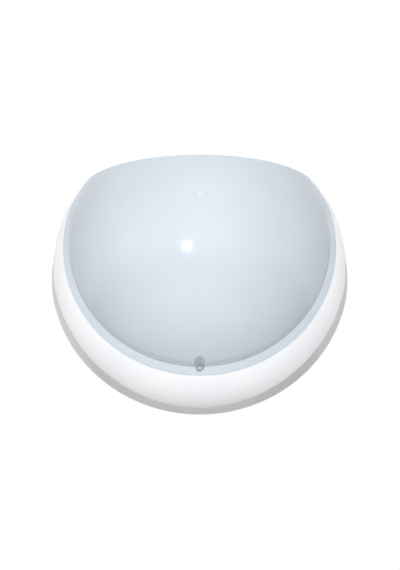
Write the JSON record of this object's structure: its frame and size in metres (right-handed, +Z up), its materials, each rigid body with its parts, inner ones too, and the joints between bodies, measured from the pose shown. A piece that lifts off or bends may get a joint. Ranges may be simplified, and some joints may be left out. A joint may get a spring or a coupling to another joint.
{
  "type": "outdoor wall light",
  "caption": "White round bulkhead wall light with a crescent rim, flat sloping top and a hinged opal dome cover held by a screw, around a screw-in lamp",
  "frame": {"origin": "centre of the housing's round outline, on its back face against the wall", "axes": "+Z up the wall, +X along the wall to the right as seen from the front, +Y into the wall"},
  "size_m": [0.2814, 0.1242, 0.213],
  "materials": {
    "white_abs": "glossy moulded white ABS",
    "opal": "glossy moulded opal polycarbonate",
    "seal_rubber": "matt black moulded rubber",
    "zinc_steel": "bright zinc plating",
    "brass": "plain machined brass",
    "porcelain": "unglazed white porcelain",
    "brown_pvc": "extruded brown PVC",
    "blue_pvc": "extruded blue PVC",
    "natural_nylon": "moulded natural polyamide",
    "lamp_white": "moulded white plastic",
    "lamp_opal": "satin opal plastic",
    "nickel_cap": "bright rolled shell",
    "black_insulator": "black glass-filled plastic",
    "board_white": "white solder mask on aluminium",
    "led_phosphor": "yellow phosphor in silicone"
  },
  "bodies": {
    "housing": {"base_housing": "white_abs", "diffuser_gasket": "seal_rubber", "screw_insert": "brass", "hinge_pin_left": "zinc_steel", "hinge_pin_right": "zinc_steel", "lampholder_bracket": "zinc_steel", "bracket_screw_lower": "zinc_steel", "bracket_screw_upper": "zinc_steel", "lampholder_body": "porcelain", "lampholder_sleeve": "brass", "lampholder_contact": "brass", "lampholder_screw_inner": "zinc_steel", "lampholder_screw_outer": "zinc_steel", "wire_live": "brown_pvc", "wire_neutral": "blue_pvc", "terminal_body": "natural_nylon", "terminal_sleeve_lower": "brass", "terminal_sleeve_upper": "brass", "terminal_screw_lower_left": "zinc_steel", "terminal_screw_lower_right": "zinc_steel", "terminal_screw_upper_left": "zinc_steel", "terminal_screw_upper_right": "zinc_steel", "terminal_fixing_screw": "zinc_steel", "cable_grommet": "seal_rubber", "cable_clamp": "natural_nylon", "clamp_screw_left": "zinc_steel", "clamp_screw_right": "zinc_steel"},
    "cover": {"diffuser": "opal", "cover_screw_washer": "natural_nylon"},
    "cover_screw": {"cover_screw": "zinc_steel"},
    "lamp_carrier": {"lamp_tip": "brass", "lamp_insulator": "black_insulator"},
    "lamp": {"lamp_cap": "nickel_cap", "lamp_body": "lamp_white", "lamp_globe": "lamp_opal", "led_board": "board_white", "led_chip_1": "led_phosphor", "led_chip_2": "led_phosphor", "led_chip_3": "led_phosphor", "led_chip_4": "led_phosphor", "led_chip_5": "led_phosphor", "led_chip_6": "led_phosphor", "led_chip_7": "led_phosphor", "led_chip_8": "led_phosphor"}
  },
  "joints": [
    {"name": "cover_swing", "type": "hinge", "parent": "housing", "child": "cover", "pos_m": [0, -0.0338, 0.06632], "axis": [-1, 0, 0], "range_deg": [0, 95]},
    {"name": "cover_screw_turn", "type": "hinge", "parent": "cover", "child": "cover_screw", "pos_m": [0, -0.036, -0.1087], "axis": [0, 1, 0], "continuous": true},
    {"name": "lamp_back_out", "type": "slide", "parent": "housing", "child": "lamp_carrier", "axis": [1, 0, 0], "range_m": [0, 0.01452]},
    {"name": "lamp_turn", "type": "hinge", "parent": "lamp_carrier", "child": "lamp", "pos_m": [0, -0.046, -0.021], "axis": [1, 0, 0], "range_deg": [0, 1440]}
  ],
  "couplings": [
    {"joint": "lamp_back_out", "follows": "lamp_turn", "m_per_rad": 0.00057757}
  ]
}
